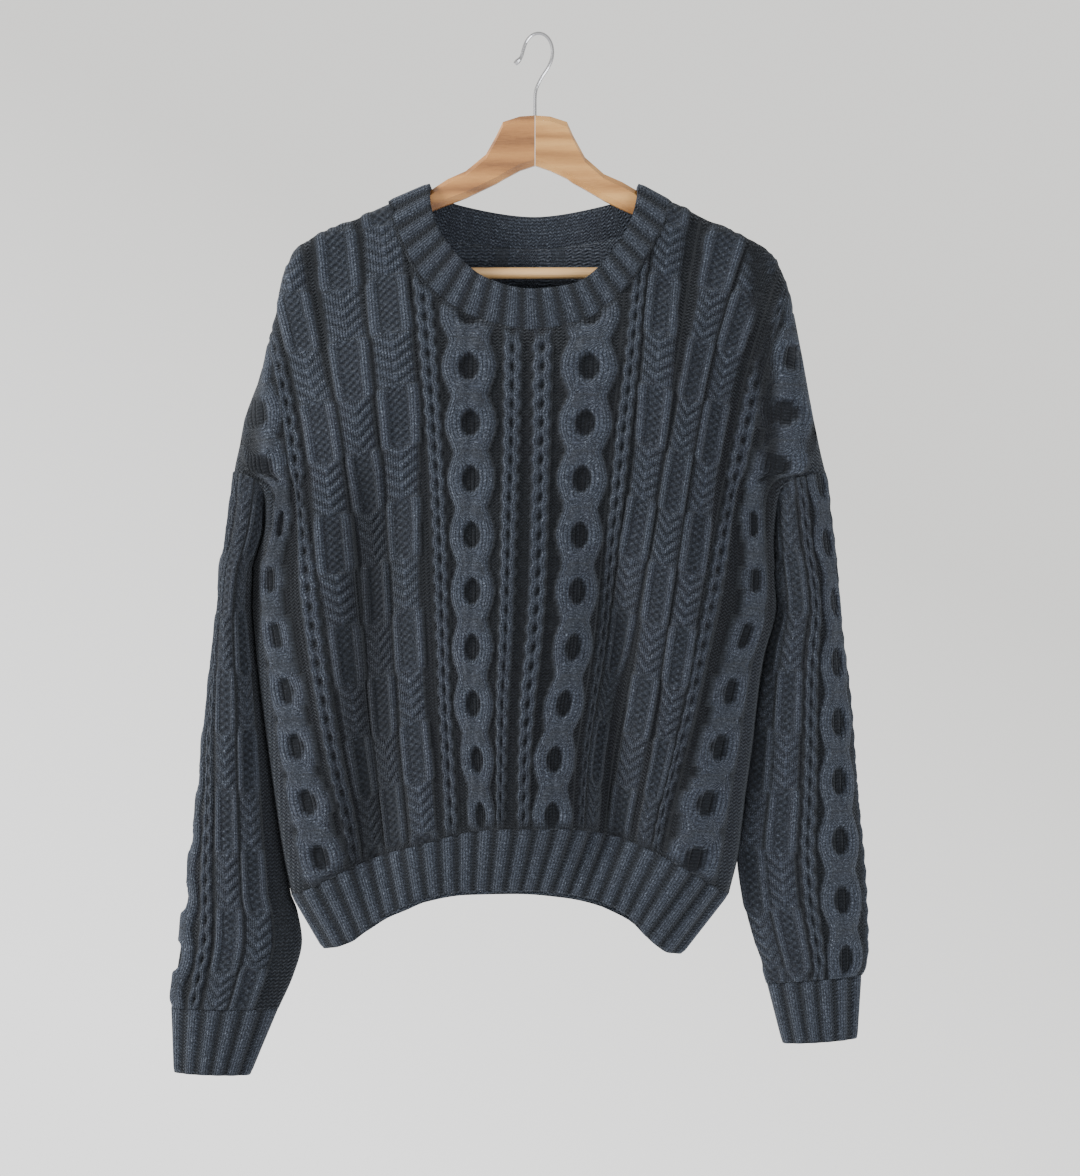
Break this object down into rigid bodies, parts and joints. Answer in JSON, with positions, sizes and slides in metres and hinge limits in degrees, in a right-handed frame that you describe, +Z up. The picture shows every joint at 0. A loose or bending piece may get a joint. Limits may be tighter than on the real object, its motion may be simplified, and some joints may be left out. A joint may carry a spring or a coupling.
{
  "type": "cable knit sweater on a wooden clothes hanger",
  "caption": "Long sleeved crew neck sweater in heavy cable knit with ribbed neckband, hem and cuffs, hanging from the shoulders of a wooden hanger with a trouser bar and a bent wire hook.",
  "frame": {"origin": "underside of the crown of the hanger's hook, where a rail would touch it", "axes": "+Z up, +X to the viewer's right, the front of the sweater faces -Y"},
  "size_m": [0.6258, 0.086, 0.9308],
  "materials": {
    "yarn": "soft heather wool, dark slate blue",
    "wood_left": "clear lacquered, darker half",
    "wood_right": "clear lacquered, lighter half",
    "wood_bar": "clear lacquered dowel",
    "wire": "polished"
  },
  "bodies": {
    "root": {"front": "yarn", "back": "yarn", "sleeve_left": "yarn", "sleeve_right": "yarn", "hem_rib_front": "yarn", "hem_rib_back": "yarn", "neckband": "yarn", "cuff_left": "yarn", "cuff_right": "yarn", "hanger_arm_left": "wood_left", "hanger_arm_right": "wood_right", "trouser_bar": "wood_bar", "hook": "wire"}
  },
  "joints": []
}
